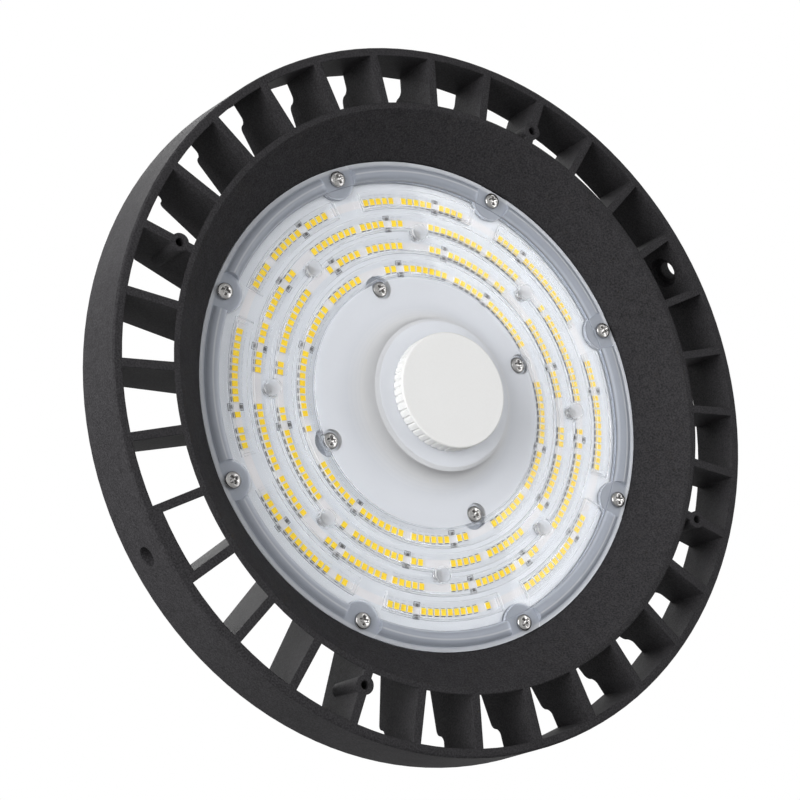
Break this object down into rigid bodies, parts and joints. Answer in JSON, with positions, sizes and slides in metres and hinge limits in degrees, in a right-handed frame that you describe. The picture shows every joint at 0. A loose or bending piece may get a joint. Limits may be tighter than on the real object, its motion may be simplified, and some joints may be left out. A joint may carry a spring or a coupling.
{
  "type": "high bay light",
  "caption": "Round high bay light: finned cast heat sink, clear lens over rings of LEDs, round cap on a raised centre port, driver drum with a lifting eye behind.",
  "frame": {"origin": "centre of the front rim plane, on the lamp's axis", "axes": "+Z along the lamp's axis from the lens to the lifting eye, up to the ceiling in use; +X along one fin, towards the cable gland"},
  "size_m": [0.344, 0.344, 0.1675],
  "materials": {
    "black_paint": "fine matt powder coat",
    "clear_lens": "clear moulded polycarbonate, frosted over the hub",
    "grey_silicone": "matt",
    "steel": "bright zinc",
    "white_board": "white solder mask",
    "yellow_phosphor": "gel over white packages",
    "black_chip": "matt",
    "white_plastic": "fine satin",
    "black_plastic": "satin",
    "brass": "satin",
    "forged_steel": "zinc plated",
    "green_board": "green solder mask",
    "ferrite": "matt",
    "winding_tape": "matt",
    "copper_wire": "enamelled",
    "bare_aluminium": "satin",
    "terminal_green": "matt"
  },
  "bodies": {
    "root": {"heatsink_housing": "black_paint", "driver_cover": "black_paint", "lens_cover": "clear_lens", "lens_gasket": "grey_silicone", "cover_gasket": "grey_silicone", "port_seal": "grey_silicone", "gland_seal": "grey_silicone", "lead_grommet": "grey_silicone", "lens_screws": "steel", "hub_screws": "steel", "board_screws": "steel", "cover_screws": "steel", "driver_board_screws": "steel", "eye_washer": "steel", "eye_nut": "steel", "eye_lock_screw": "steel", "lifting_eye": "forged_steel", "led_board": "white_board", "outer_row_chips": "yellow_phosphor", "second_row_chips": "yellow_phosphor", "third_row_chips": "yellow_phosphor", "inner_row_chips": "yellow_phosphor", "row_resistors": "black_chip", "sensor_cap": "white_plastic", "sensor_port": "white_plastic", "port_nut": "white_plastic", "port_contacts": "brass", "board_standoffs": "brass", "gland_body": "black_plastic", "gland_nut": "black_plastic", "gland_locknut": "black_plastic", "vent_plug": "black_plastic", "driver_board": "green_board", "transformer_core": "ferrite", "transformer_winding": "winding_tape", "capacitors": "black_plastic", "choke": "copper_wire", "rectifier_plate": "bare_aluminium", "terminal_block": "terminal_green"}
  },
  "joints": []
}
